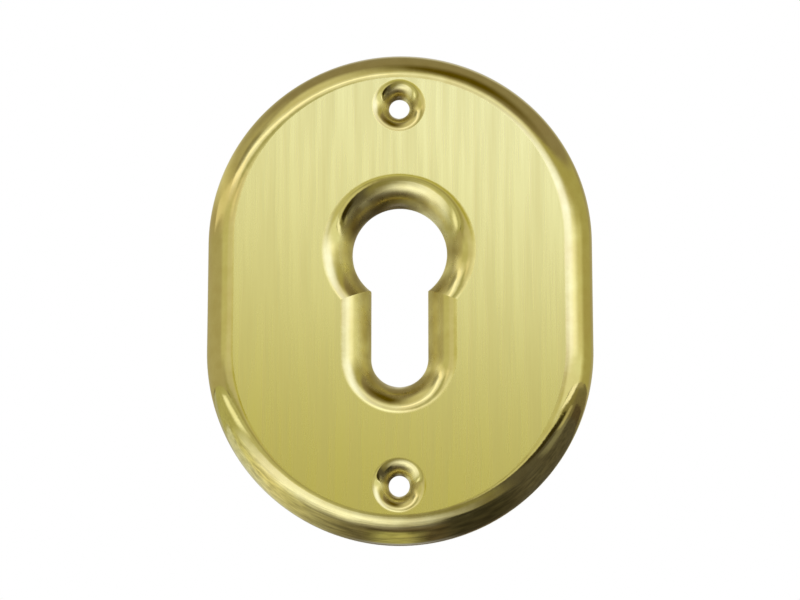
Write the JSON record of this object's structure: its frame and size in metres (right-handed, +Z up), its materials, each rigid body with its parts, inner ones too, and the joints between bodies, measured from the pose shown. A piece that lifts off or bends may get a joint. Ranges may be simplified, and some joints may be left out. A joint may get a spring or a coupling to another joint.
{
  "type": "keyhole escutcheon",
  "caption": "Oval pressed brass escutcheon with a rolled rim, a drawn keyhole collar for a profile cylinder and a dimpled screw hole above and below.",
  "frame": {"origin": "middle of the plate, on the plane of its rim's back edge, which is the face of the door", "axes": "+Z up along the plate's length with the round part of the keyhole uppermost, +Y into the door, so the face looks along -Y"},
  "size_m": [0.071, 0.007, 0.0912],
  "materials": {
    "brass": "face brushed lengthways, rim and collar polished"
  },
  "bodies": {
    "root": {"escutcheon_plate": "brass"}
  },
  "joints": []
}
